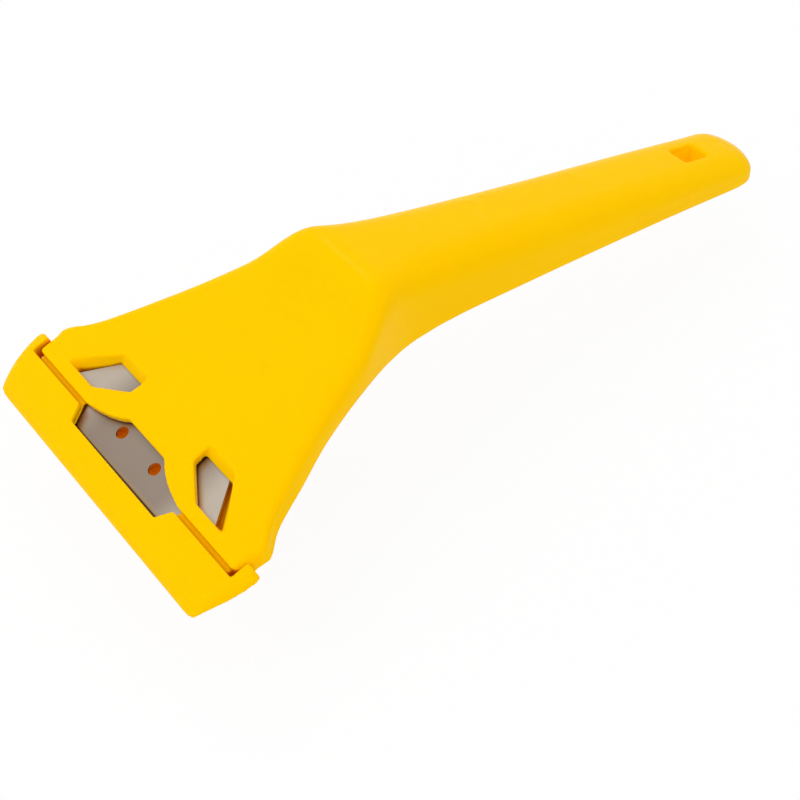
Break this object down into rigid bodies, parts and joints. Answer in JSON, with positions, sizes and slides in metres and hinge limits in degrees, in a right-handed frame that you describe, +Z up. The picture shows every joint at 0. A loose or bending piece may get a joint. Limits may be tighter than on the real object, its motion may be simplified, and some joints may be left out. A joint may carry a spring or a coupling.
{
  "type": "blade scraper",
  "caption": "Hand scraper with a wide flat head on a raised arched grip, holding a trapezoid steel blade under a push-on blade guard, for scraping frost, paint or stickers off glass.",
  "frame": {"origin": "middle of the outer box in X and Y, on the resting plane under the guard and the end of the grip", "axes": "+X toward the end of the grip, +Y across the head to the left seen along the grip, +Z up"},
  "size_m": [0.1578, 0.073, 0.0268],
  "materials": {
    "yellow_plastic": "satin moulded",
    "blade_steel": "satin"
  },
  "bodies": {
    "handle": {"handle": "yellow_plastic"},
    "blade": {"blade": "blade_steel"},
    "guard": {"guard": "yellow_plastic"}
  },
  "joints": [
    {"name": "blade_slide", "type": "slide", "parent": "handle", "child": "blade", "axis": [-0.9403, 0, -0.3404], "range_m": [0, 0.024]},
    {"name": "guard_slide", "type": "slide", "parent": "blade", "child": "guard", "axis": [-0.9403, 0, -0.3404], "range_m": [0, 0.016]}
  ]
}
